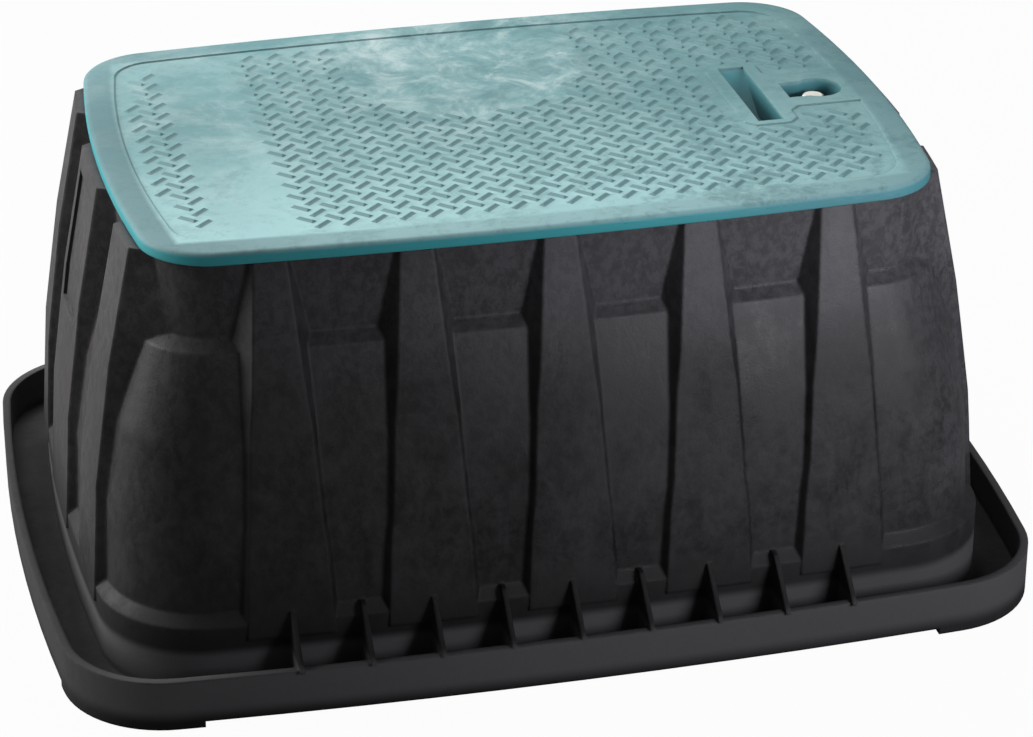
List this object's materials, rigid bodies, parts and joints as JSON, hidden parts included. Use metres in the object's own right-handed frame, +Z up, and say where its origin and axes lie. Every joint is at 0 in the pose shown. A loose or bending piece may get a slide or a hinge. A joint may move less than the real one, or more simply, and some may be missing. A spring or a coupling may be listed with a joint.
{
  "type": "irrigation valve box",
  "caption": "Rectangular buried valve box with tapered ribbed walls, a wide footed flange and a treaded lift-off cover held by one lock bolt.",
  "frame": {"origin": "centre of the box in plan, on the plane under its four corner feet", "axes": "+X along the box towards the cover's keyhole, +Y towards the box's back, +Z up"},
  "size_m": [0.708, 0.521, 0.3137],
  "materials": {
    "black_plastic": "black structural-foam plastic, slightly mottled, faint sheen",
    "teal_plastic": "blue-green structural-foam plastic with paler scuffed patches",
    "stainless": "stainless bolt, washer and nut"
  },
  "bodies": {
    "box": {"box_body": "black_plastic", "cover": "teal_plastic", "square_nut": "stainless"},
    "washer": {"bolt_washer": "stainless"},
    "bolt": {"lock_bolt": "stainless"}
  },
  "joints": [
    {"name": "washer_rise", "type": "slide", "parent": "box", "child": "washer", "axis": [0, 0, 1], "range_m": [0, 0.01588]},
    {"name": "bolt_turn", "type": "hinge", "parent": "washer", "child": "bolt", "pos_m": [0.235, 0, 0.3], "axis": [0, 0, 1], "range_deg": [0, 3600]}
  ],
  "couplings": [
    {"joint": "bolt_turn", "follows": "washer_rise", "rad_per_m": 3957.9}
  ]
}
